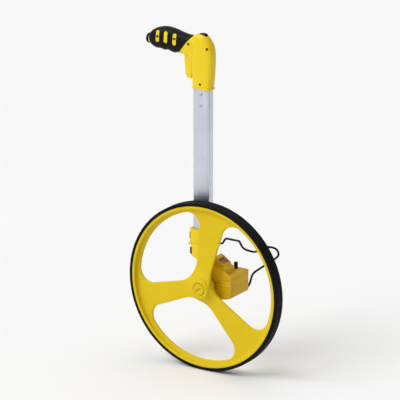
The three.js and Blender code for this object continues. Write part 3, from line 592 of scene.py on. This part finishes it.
def web_faces(bm, rims, face_y):
    """The web's near or far face between hub, rim and the holes' rounded lips."""
    clearance = 1.6
    points = []
    edges = []
    circles = [[Vector(p) for p in circle(0, 0, r, WHEEL_STEPS)] for r in (WEB_INNER, WEB_OUTER)]
    for loop in circles + rims:
        first = len(points)
        points += loop
        edges += [(first + i, first + (i + 1) % len(loop)) for i in range(len(loop))]
    for radius in WEB_RADII:
        for p in circle(0, 0, radius, WHEEL_STEPS // 2):
            spot = Vector(p)
            in_hole = any(inside(spot, rim) for rim in rims)
            if not in_hole and all((spot - q).length > clearance for rim in rims for q in rim):
                points.append(spot)
    made, _, faces, *_ = delaunay_2d_cdt(points, edges, [], 0, 1e-6)
    verts = [bm.verts.new(at(p.x, read(face_y, p.length)[0], p.y)) for p in made]
    for face in faces:
        middle = sum((made[i] for i in face), Vector((0, 0))) / len(face)
        if WEB_INNER < middle.length < WEB_OUTER and not any(inside(middle, rim) for rim in rims):
            bm.faces.new([verts[i] for i in face])


def hole_lip(bm, loop):
    """The wall of one hole, rounded over into the web's near and far faces."""
    rows = []
    for table, sign in ((WEB_NEAR, 1), (WEB_FAR, -1)):
        side = []
        for step in range(LIP_STEPS + 1):
            turn = math.pi / 2 * step / LIP_STEPS
            row = []
            for i, p in enumerate(loop):
                rim = p + outward(loop, i) * LIP
                spot = p + outward(loop, i) * LIP * (1 - math.sin(turn))
                depth = read(table, rim.length)[0] + sign * LIP * (1 - math.cos(turn))
                row.append(bm.verts.new(at(spot.x, depth, spot.y)))
            side.append(row)
        rows += side if sign > 0 else list(reversed(side))
    join_rows(bm, rows)


def wheel_disc():
    """Hub, web with three holes, and the rim with the groove that the tyre is keyed into."""
    holes = [spoke_hole(*hole) for hole in HOLES]
    rims = [[p + outward(loop, i) * LIP for i, p in enumerate(loop)] for loop in holes]
    bm = bmesh.new()
    web_faces(bm, rims, WEB_NEAR)
    web_faces(bm, rims, WEB_FAR)
    for loop in holes:
        hole_lip(bm, loop)
    h = HALF_WIDTH
    rim_profile = [
        (WEB_OUTER, read(WEB_NEAR, WEB_OUTER)[0]), (147.7, -4.7), (RIM_INNER, -5.8), (RIM_INNER, -h + 0.9),
        (RIM_INNER + 0.25, -h + 0.3), (RIM_INNER + 0.9, -h), (RIM_OUTER - 0.8, -h),
        (RIM_OUTER - 0.2, -h + 0.2), (RIM_OUTER, -h + 0.7), (RIM_OUTER, -6.3), (150.6, -5.9),
        (150.6, 5.9), (RIM_OUTER, 6.3), (RIM_OUTER, h - 0.7), (RIM_OUTER - 0.2, h - 0.2),
        (RIM_OUTER - 0.8, h), (RIM_INNER + 0.9, h), (RIM_INNER + 0.25, h - 0.3), (RIM_INNER, h - 0.9),
        (RIM_INNER, 5.8), (147.7, 4.7), (WEB_OUTER, read(WEB_FAR, WEB_OUTER)[0]),
    ]
    hub_profile = [
        (WEB_INNER, read(WEB_NEAR, WEB_INNER)[0]), (18.6, -21.2), (18.0, -21.8), (16.9, -22.25),
        (13.2, -22.3), (12.6, -22.2), (12.2, -21.8), (11.6, -21.4), (11.2, -20.8), (11.2, -9.8),
        (8.5, -9.8), (8.5, -4.2), (11.2, -4.2), (11.2, 9), (15.0, 9), (15.5, 8.5), (15.5, -3),
        (16.2, -4.6), (17.4, -5.2), (WEB_INNER, read(WEB_FAR, WEB_INNER)[0]),
    ]
    for profile in (rim_profile, hub_profile):
        part = turned_bm(profile, (0, 0, 0), "Y", WHEEL_STEPS)
        mesh = bpy.data.meshes.new("part")
        part.to_mesh(mesh)
        part.free()
        bm.from_mesh(mesh)
        bpy.data.meshes.remove(mesh)
    bmesh.ops.remove_doubles(bm, verts=bm.verts, dist=1e-5)
    place_piece(
        to_object("wheel", bm), "wheel_disc_fine", "yellow_plastic", "wheel", "wheel_disc",
        material="wheel_yellow", smooth_angle=50,
    )


def tyre():
    """A square tread with round shoulders and a thin groove near each side, keyed into the rim."""
    r = TYRE_RADIUS - 0.02
    h = HALF_WIDTH
    inner = RIM_OUTER + 0.15
    shoulder = 1.6
    near = [
        (inner, -h + 0.3), (153.9, -h), (156.4, -h), *arc(r - shoulder, -h + shoulder, shoulder, -90, 0, 6),
        (r, -4.6), (r - 0.5, -4.3), (r - 0.5, -3.7), (r, -3.4),
    ]
    profile = near + [(radius, -along) for radius, along in reversed(near)]
    profile += [(inner, 5.7), (150.8, 5.4), (150.8, -5.4), (inner, -5.7), near[0]]
    place_piece(turned(profile, steps=WHEEL_STEPS), "tyre_fine", "tyre_rubber", "wheel", "tyre")


def spun_about_axle(degrees, centre=(0, 0, 0)):
    """Turns a shape made at the axle's centre about +Y, then moves it to `centre`."""
    axle = Vector((0, 0, AXLE_Z))
    spin = Matrix.Rotation(math.radians(degrees), 4, "Y")
    return Matrix.Translation(Vector(centre) * MM + axle) @ spin @ Matrix.Translation(-axle)


def hub_cap():
    """A round cap with a slot for a coin."""
    face, back = -23.0, -19.6
    cap = turned([
        (0, face), (9.6, face), (10.3, face + 0.15), (10.8, face + 0.6), (10.9, face + 1.3), (10.9, back),
        (0, back),
    ], steps=96)
    slot = soften(block(-6.4, 6.4, face - 2, face + 1.6, -1.2, 1.2), 0.4, 3)
    slot.matrix_world = spun_about_axle(-38)
    carve(cap, "DIFFERENCE", slot)
    place_piece(
        soften(cap, 0.15, 2, 50), "hub_cap_fine", "yellow_plastic", "wheel", "hub_cap",
        material="wheel_yellow",
    )


# ---------------------------------------------------------------- pole

POLE_X, POLE_Y, POLE_Z = cad_spans("pole_tube")
POLE = {
    "x": middle(POLE_X), "width": extent(POLE_X), "y": middle(POLE_Y), "depth": extent(POLE_Y),
    "bottom": POLE_Z[0], "top": POLE_Z[1], "corner": 3.5, "wall": 1.5,
}
RIVET_X = POLE["x"] - 1
RIVET_HEIGHTS = (356, 335)
GROOVES = (-14.6, 13.8)  # the middles of the long grooves, from the pole's own middle


def pole_tube():
    """A drawn tube with two long grooves on each broad face and two rivet holes."""
    p = POLE
    outline = rounded(p["x"], p["y"], p["width"], p["depth"], p["corner"], 10)
    bore = rounded(
        p["x"], p["y"], p["width"] - 2 * p["wall"], p["depth"] - 2 * p["wall"], p["corner"] - p["wall"])
    tube = prism(outline, p["bottom"], p["top"], "XY")
    carve(tube, "DIFFERENCE", prism(bore, p["bottom"] - 5, p["top"] + 5, "XY"))
    holes = [rod("Y", (RIVET_X, 0, z), 1.9, 0, 20) for z in RIVET_HEIGHTS]
    faces = (p["y"] - p["depth"] / 2, p["y"] + p["depth"] / 2)
    grooves = [
        block(p["x"] + u - 0.6, p["x"] + u + 0.6, face - 0.5, face + 0.5, 60, 440)
        for u in GROOVES for face in faces
    ]
    carve(tube, "DIFFERENCE", *holes, *grooves)
    soften(tube, 0.15, 2, 30)
    place_piece(tube, "pole_tube_fine", "aluminium", "pole", "pole_tube")


# ---------------------------------------------------------------- handle

# The line where the yellow column ends and the grip begins, as (x, z).
SEAM = [(-33, 466), (-38, 461.4), (-47, 451), (-55, 440.4), (-64.5, 427.6), (-70, 419)]
COLUMN = [  # height, rear, front, half width
    (366.2, -38.4, 0.2, 11.2), (372, -38.5, 0.9, 11.5), (380, -38.9, 1.9, 11.7), (392, -39.5, 3.0, 11.9),
    (405, -39.8, 3.9, 11.95), (418, -39.9, 4.5, 11.95), (430, -39.9, 4.4, 11.95), (440, -39.9, 3.5, 11.95),
    (447, -39.8, 1.4, 11.8), (453, -39.6, -2.0, 11.5), (458, -38.9, -5.6, 10.9), (461.5, -37.6, -8.8, 10.0),
    (464, -35.4, -11.2, 8.8), (465.8, -32, -13.6, 7.0), (466.9, -28, -16.4, 4.8), (467.3, -24, -19.4, 2.4),
]
NECK = [  # place along X, bottom, top, half width
    (-74, 424.4, 467.2, 13.6), (-66, 424.6, 464.8, 13.1), (-58, 424.4, 462.6, 12.6),
    (-50, 422.6, 461.5, 12.3), (-45, 419.8, 461.3, 12.1), (-41, 415, 461.2, 12.0),
    (-36, 408, 461, 11.6), (-30, 402, 459, 10.6),
]
# The grip's outline seen from the side, and its half width, each against place along X.
GRIP_TOP = [
    (-129, 455.4), (-127.4, 458.8), (-124.4, 461.8), (-116.5, 466.2), (-105, 469.6), (-98, 470.4),
    (-91, 470.3), (-78, 468.4), (-64, 464.5), (-52, 462), (-36, 461.4),
]
GRIP_BOTTOM = [
    (-129, 438.2), (-127.2, 434.8), (-122, 430.8), (-114.5, 428.4), (-107, 429), (-98, 426.6),
    (-91, 428.4), (-84, 426), (-77, 424.4), (-69.6, 426.6), (-60, 427), (-36, 427),
]
GRIP_WIDE = [
    (-129, 10.4), (-127.4, 11.8), (-122, 13.3), (-110, 14.3), (-92, 14.5), (-72, 14.1), (-56, 13.2),
    (-36, 12.2),
]
GRIP_POWER = 2.55
GRIP_END_Z = 444
# The middles of the pads and the screws' middles, as (x, z).
PADS = ((-108.6, 453.2), (-91, 453.4), (-72.6, 451.6))
PAD = {"width": 7.6, "height": 21.2, "corner": 3.4}
GRIP_SCREW_Z = 452.9
HANDLE_SCREWS = ((-43.7, 447), (-4.5, 442.8))
COLLAR_SCREW = (-19, 375.5)
BUTTON = {"x": -18.0, "width": 14.0, "depth": 10.0, "flange": 11.0, "flange_depth": 15.0}


def ahead_of_seam(shift):
    """All that lies on the column's side of the seam, moved along X by `shift`."""
    outline = [*blend_curve(SEAM, 4), (-80, 340), (60, 340), (60, 500), (-30, 500)]
    return prism([(x + shift, z) for x, z in outline], -10, 60)


def smooth_out(obj, rounds):
    """Relaxes a mesh by averaging neighbours."""
    smooth = obj.modifiers.new("smooth", "SMOOTH")
    smooth.factor = 0.5
    smooth.iterations = rounds
    return settle(obj)


def handle_body():
    """The column that stands on the pole and the neck that carries the grip, blended together."""
    column = []
    for z, rear, front, half in COLUMN:
        ring = superellipse((front - rear) / 2, half, 3.6)
        column.append([at((front + rear) / 2 + u, POLE["y"] + v, z) for u, v in ring])
    body = to_object("column", skin(column))
    neck = []
    for x, low, high, half in NECK:
        ring = superellipse(half, (high - low) / 2, 2.7)
        neck.append([at(x, POLE["y"] + u, (high + low) / 2 + v) for u, v in ring])
    carve(body, "UNION", to_object("neck", skin(neck)))
    remesh = body.modifiers.new("remesh", "REMESH")
    remesh.mode = "VOXEL"
    remesh.voxel_size = 0.9 * MM
    settle(body)
    smooth_out(body, 9)
    flare = soften(prism(rounded(-19.2, POLE["y"], 41.4, 24.2, 8.5), 366.0, 368.6, "XY"), 0.8, 4)
    carve(body, "UNION", flare)
    return body


def handle_shells():
    """The two halves of the handle, with room for the pole, the trigger, the button and the screws."""
    body = handle_body()
    p = POLE
    carve(body, "INTERSECT", ahead_of_seam(0))
    socket = prism(
        rounded(p["x"], p["y"], p["width"] + 0.8, p["depth"] + 0.8, p["corner"] + 0.4), 350, 430, "XY")
    trigger_slot = block(-60, -36.7, p["y"] - 5.7, p["y"] + 5.7, 378, 433)
    pocket_floor = 452.6
    button_slot = prism(
        rounded(BUTTON["x"], p["y"], BUTTON["width"] + 0.6, BUTTON["depth"] + 0.6, 3.3),
        pocket_floor, 490, "XY")
    flange_room = block(
        BUTTON["x"] - 6.2, BUTTON["x"] + 6.2, p["y"] - 8, p["y"] + 8, pocket_floor, 461.2)
    carve(body, "DIFFERENCE", socket, trigger_slot, button_slot, flange_room)
    holes = [rod("Y", (x, 0, z), 2.5, 0, 13.9) for x, z in (*HANDLE_SCREWS, COLLAR_SCREW)]
    carve(body, "DIFFERENCE", *holes)
    for side, low, high in (("near", -20, p["y"] - 0.1), ("far", p["y"] + 0.1, 60)):
        half = body.copy()
        half.data = body.data.copy()
        bpy.context.scene.collection.objects.link(half)
        carve(half, "INTERSECT", block(-160, 60, low, high, 340, 500))
        shell = f"handle_shell_{side}"
        place_piece(half, shell + "_fine", "yellow_plastic", "pole", shell, smooth_angle=45)
    bpy.data.objects.remove(body)


def grip_solid():
    """The rubber sleeve's outer form, with its finger hollows, carried on under the column."""
    rear, front, spans = GRIP_TOP[0][0], GRIP_TOP[-1][0], 90
    rows = []
    for i in range(spans + 1):
        x = rear + (front - rear) * (i / spans)
        low, high, half = (read(table, x)[0] for table in (GRIP_BOTTOM, GRIP_TOP, GRIP_WIDE))
        ring = superellipse(half, (high - low) / 2, GRIP_POWER)
        rows.append([at(x, POLE["y"] + u, (high + low) / 2 + v) for u, v in ring])
    return smooth_out(to_object("grip", skin(rows)), 6)


def grip_face(x, z):
    """How far the grip's side stands out from its middle plane at a point of its outline."""
    low, high = read(GRIP_BOTTOM, x)[0], read(GRIP_TOP, x)[0]
    reach = min(0.999, abs(z - (high + low) / 2) / ((high - low) / 2))
    return read(GRIP_WIDE, x)[0] * (1 - reach ** GRIP_POWER) ** (1 / GRIP_POWER)


def grip_pad(x, z, side):
    """A rounded pad that follows the grip's side and stands a little proud of it."""
    rows = []
    # How far each row draws in from the pad's outline, and how far it stands off the grip's side.
    edge = ((0, -4.0), (0, -0.5), (0.12, -0.1), (0.35, 0.15), (0.7, 0.26), (1.4, 0.3), (2.4, 0.3))
    for shrink, proud in edge:
        corner = max(0.6, PAD["corner"] - shrink)
        outline = rounded(x, z, PAD["width"] - 2 * shrink, PAD["height"] - 2 * shrink, corner, 8)
        rows.append([at(u, POLE["y"] + side * (grip_face(u, v) + proud), v) for u, v in outline])
    return to_object("pad", skin(rows))


def grip():
    """The rubber sleeve with its windows, the yellow pads in them, and the ring and cap at the end."""
    y = POLE["y"]
    sides = (("near", -1, -5, y - 10.4), ("far", 1, y + 10.4, 50))
    sleeve = carve(grip_solid(), "DIFFERENCE", ahead_of_seam(-0.3))
    soften(sleeve, 0.7, 3, 60)
    width, height, corner = PAD["width"] + 0.6, PAD["height"] + 0.6, PAD["corner"] + 0.2
    for _, _, low, high in sides:
        windows = (prism(rounded(x, z, width, height, corner), low, high) for x, z in PADS)
        carve(sleeve, "DIFFERENCE", *windows)
    place_piece(sleeve, "grip_sleeve_fine", "grip_rubber", "pole", "grip_sleeve", smooth_angle=50)
    for side, sign, _, _ in sides:
        for number, (x, z) in enumerate(PADS, 1):
            pad = grip_pad(x, z, sign)
            if side == "near" and number != 2:
                carve(pad, "DIFFERENCE", rod("Y", (x, 0, GRIP_SCREW_Z), 2.7, -5, y - 12.8))
            place_piece(pad, f"grip_pad_{side}_{number}", "yellow_plastic", "pole")
    end = (0, y, GRIP_END_Z)
    ring = turned([
        (6.3, -131.2), (8.6, -131.2), (9.1, -130.9), (9.2, -130.4), (9.2, -128.8), (6.3, -128.8),
        (6.3, -131.2),
    ], end, "X", 72)
    place_piece(ring, "grip_end_ring_fine", "yellow_plastic", "pole", "grip_end_ring")
    cap = turned([
        (0, -138.3), (3.4, -138.25), (6.2, -137.9), (8.0, -137.1), (9.0, -136.0), (9.4, -134.8),
        (9.4, -132.2), (9.0, -131.5), (0, -131.4),
    ], end, "X", 72)
    place_piece(cap, "grip_end_cap_fine", "black_plastic", "pole", "grip_end_cap")


def trigger():
    """The blade under the grip and the arm that reaches into the column, turning at (x, z)."""
    x, z, y = -47.0, 431.0, POLE["y"]
    outline = blend_curve([
        (-43.6, 428), (-40.2, 421), (-40.3, 402), (-40.9, 386), (-42.6, 382.2), (-46.4, 381.6),
        (-50.4, 383.4), (-53.3, 387.8), (-55.2, 401), (-56.8, 421), (-54.4, 429.6), (-49, 434.6),
    ], 5)
    blade = soften(prism(outline, y - 5, y + 5), 2.0, 5, 40)
    arm_outline = [(x, z + 3.9), (-15, 437.5), (-14, 436), (-15, 431.6), (x + 3, 430.4), (x, z - 2)]
    arm = soften(prism(arm_outline, y - 6.4, y + 6.4), 0.5)
    carve(blade, "UNION", arm, rod("Y", (x, 0, z), 4, y - 6.4, y + 6.4))
    carve(blade, "DIFFERENCE", rod("Y", (x, 0, z), 1.7, 0, 60))
    place_piece(blade, "brake_trigger_fine", "yellow_plastic", "trigger", "brake_trigger")


def thumb_button():
    """A low domed button with a flange that keeps it in its slot."""
    x, y = BUTTON["x"], POLE["y"]
    # Height of each row, and how far it draws in from the button's outline.
    dome = ((456.2, 0), (465.8, 0), (466.9, 0.4), (467.7, 1.1), (468.2, 2.0), (468.5, 3.2), (468.6, 4.4))
    rows = []
    for z, shrink in dome:
        power = 3.4 - 0.3 * shrink
        ring = superellipse(BUTTON["width"] / 2 - shrink, BUTTON["depth"] / 2 - shrink, power)
        rows.append([at(x + u, y + v, z) for u, v in ring])
    cap = to_object("button", skin(rows))
    half, half_depth = BUTTON["flange"] / 2, BUTTON["flange_depth"] / 2
    carve(cap, "UNION", block(x - half, x + half, y - half_depth, y + half_depth, 457, 460.6))
    place_piece(cap, "thumb_button_fine", "black_plastic", "thumb", "thumb_button")


# ---------------------------------------------------------------- fold hinge

CATCH = (18.4, 27.6)  # how far the catch and its button reach along the axle


def hinge_trims():
    """Thin black bands at the rear edges of the two hinge blocks, open where catch and button sit."""
    x, y = POLE["x"], POLE["y"]
    upper = prism(rounded(x, y, 48.9, 22.9, 4.9), 81, 93.8, "XY")
    core = prism(rounded(x, y, 48.1, 22.1, 4.5), 75, 100, "XY")
    carve(upper, "DIFFERENCE", core, block(-50, -40, *CATCH, 75, 100))
    carve(upper, "INTERSECT", block(-50, -40.4, 0, 50, 75, 100))
    place_piece(upper, "hinge_trim_upper", "black_plastic", "pole")
    lower = block(-40.4, -37.0, 11.6, 34.3, 52.6, 65.2)
    core = block(-40.05, -30, 11.9, 34.0, 45, 70)
    carve(lower, "DIFFERENCE", core, block(-50, -30, *CATCH, 45, 70))
    place_piece(lower, "hinge_trim_lower", "black_plastic", "frame")


# ---------------------------------------------------------------- counter housing

HOUSING_NEAR = 12.95
DRUM_RADIUS = 35.5  # of the round part over the axle
HOOD_RIBS = ((24.5, 26.1), (48.9, 50.5))  # from and to, along the axle
FACE_LINES = (6.2, 11.4)  # heights of the lines on the near face


def housing_upper():
    """The upper shell with a groove behind its near lip, shallow lines on its near face and hood ribs."""
    shell = refine("housing_upper_shell", "frame", "amber_plastic", 0.45)
    rim = [(30.5, 30.3), (26, 31.9), (21, 33.4), *arc(0, 0, DRUM_RADIUS, 76, 118, 12)]
    outer = [(u * 1.06, v * 1.06) for u, v in rim]
    inner = [(u * 0.955, v * 0.955) for u, v in reversed(rim)]
    groove = prism(outer + inner, 15.6, 17.4)
    lines = [block(8, 45.4, HOUSING_NEAR - 1, HOUSING_NEAR + 0.35, z, z + 0.7) for z in FACE_LINES]
    carve(shell, "DIFFERENCE", groove, *lines)
    rib = [
        (24.2, 36.8), (7.4, 48.0), (4.0, 49.0), (-0.4, 48.8), (-0.4, 46.6), (4.0, 46.4), (7.0, 45.2),
        (22.4, 35.6),
    ]
    for low, high in HOOD_RIBS:
        carve(shell, "UNION", soften(prism(rib, low, high), 0.4, 3))
    shade(shell)


def housing_lower():
    """The lower shell, with a small notch in its near face."""
    shell = refine("housing_lower_shell", "frame", "amber_plastic", 0.45)
    carve(shell, "DIFFERENCE", block(40.5, 44.5, HOUSING_NEAR - 1, HOUSING_NEAR + 0.6, -16.2, -14.2))
    shade(shell)


# ---------------------------------------------------------------- wire rest

# The wire's middle line, from the front clip's pin round to the rear clip's.
WIRE_RADIUS = 2.0
WIRE_ROUTE = [
    (34, 80.5, -16), (37, 80.5, -16), (40, 80.5, -16), (42.6, 81, -14.6), (44.4, 83, -9), (48.4, 88, 8),
    (57, 107, 17.5), (66, 126, 25.5), (74, 130.6, 33), (76.2, 131, 39.5), (73, 130.6, 46), (66, 130, 49.3),
    (54, 129, 48.8), (42, 126.5, 43), (30, 124, 36.8), (18, 122.6, 37), (7.3, 122, 39.4), (2, 122, 44),
    (-2.6, 122, 51), (-6, 122, 52.3), (-20, 122, 52.3), (-31, 122, 52.3), (-35, 122, 49.4),
    (-38.6, 122, 43.4), (-42, 122.4, 40.8), (-50, 124, 40.6), (-58, 127, 42.8), (-64, 128.6, 41),
    (-66.6, 129, 35.5), (-62, 127, 26), (-54, 107, 17), (-42.6, 88, 6), (-34.6, 83, -9),
    (-31.6, 81, -14.6), (-29, 80.5, -16), (-26, 80.5, -16), (-23, 80.5, -16),
]


def wire_rest():
    """A round wire along its route, from one clip's pin to the other's."""
    points = [Vector(p) for p in blend_curve(WIRE_ROUTE, 5)]
    side = Vector((0, 0, 1))
    rows = []
    for i, point in enumerate(points):
        after, before = points[min(i + 1, len(points) - 1)], points[max(i - 1, 0)]
        tangent = (after - before).normalized()
        side = (side - tangent * side.dot(tangent)).normalized()
        up = tangent.cross(side)
        rows.append([at(*(point + side * u + up * v)) for u, v in circle(0, 0, WIRE_RADIUS, 20)])
    place_piece(to_object("wire", skin(rows)), "stand_wire_fine", "black_wire", "stand", "stand_wire")


# ---------------------------------------------------------------- screws


def screw(name, body, centre, radius, head, shank, length, turn=None, material="dark_steel"):
    """A round head with its shank along +Y, and a cross recess turned by `turn` degrees, if given."""
    made = turned([
        (0, 0), (radius * 0.55, 0.02), (radius * 0.85, 0.2), (radius, 0.6), (radius, head), (shank, head),
        (shank, length), (0, length),
    ], centre, "Y", 40)
    half_long, half_thin = radius * 0.62, radius * 0.14
    for extra in () if turn is None else (0, 90):
        bar = block(-half_long, half_long, -1, 0.8, -half_thin, half_thin)
        bar.matrix_world = spun_about_axle(turn + extra, centre)
        carve(made, "DIFFERENCE", bar)
    place_piece(made, name + "_fine", "steel", body, name, material=material)


def screws():
    """The handle's and the pads' screws, and the two rivets at the pole's top."""
    face = POLE["y"] - 11.9
    for number, (x, z) in enumerate(HANDLE_SCREWS, 1):
        screw(f"handle_screw_{number}", "pole", (x, face, z), 2.3, 1.6, 1.3, 18, 20 * number)
    screw("collar_screw", "pole", (COLLAR_SCREW[0], face, COLLAR_SCREW[1]), 2.3, 1.2, 1.3, 7, 50)
    for number, x in enumerate((PADS[0][0], PADS[2][0]), 1):
        head = (x, POLE["y"] - 14.3, GRIP_SCREW_Z)
        screw(f"grip_screw_{number}", "pole", head, 2.2, 1.3, 1.1, 9, 35 * number)
    for number, z in enumerate(RIVET_HEIGHTS, 1):
        head = (RIVET_X, POLE["y"] - POLE["depth"] / 2 - 1.2, z)
        screw(f"pole_rivet_{number}", "pole", head, 2.6, 1.0, 1.5, 4.5, material="steel")


def reset_peg():
    """The peg that stands out of the housing's deck, with the flange that keeps it in."""
    span_x, span_y, (bottom, top) = cad_spans("reset_peg")
    x, y, flange, radius = middle(span_x), middle(span_y), extent(span_x) / 2, 3.7
    peg = turned([
        (0, bottom), (flange, bottom), (flange, bottom + 2.4), (radius, bottom + 2.4), (radius, top - 1.0),
        (radius - 0.3, top - 0.4), (radius - 0.9, top), (0, top),
    ], (x, y, 0), "Z", 48)
    place_piece(peg, "reset_peg_fine", "black_plastic", "peg", "reset_peg")


# ---------------------------------------------------------------- small fittings and hidden pieces

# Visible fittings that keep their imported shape, with rounded edges: node, body, slot.
REFINED = (
    ("hinge_upper_block", "pole", "yellow_plastic"),
    ("hinge_lower_block", "frame", "yellow_plastic"),
    ("latch_keeper", "pole", "black_plastic"),
    ("release_button", "release", "black_plastic"),
    ("stand_clip_front", "frame", "black_plastic"),
    ("stand_clip_rear", "frame", "black_plastic"),
)


def paint_cad_nodes():
    """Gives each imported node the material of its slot."""
    slots = {row["node"]: row["material_slot"] for row in frame["record"]["subparts"]}
    for name, obj in frame["nodes"].items():
        obj.data.materials.clear()
        obj.data.materials.append(MATERIALS[slots[name]])


# ---------------------------------------------------------------- the whole scene

make_camera()
make_studio()
wheel_disc()
tyre()
hub_cap()
pole_tube()
handle_shells()
grip()
trigger()
thumb_button()
hinge_trims()
housing_upper()
housing_lower()
wire_rest()
screws()
reset_peg()
for row in REFINED:
    refine(*row)
paint_cad_nodes()
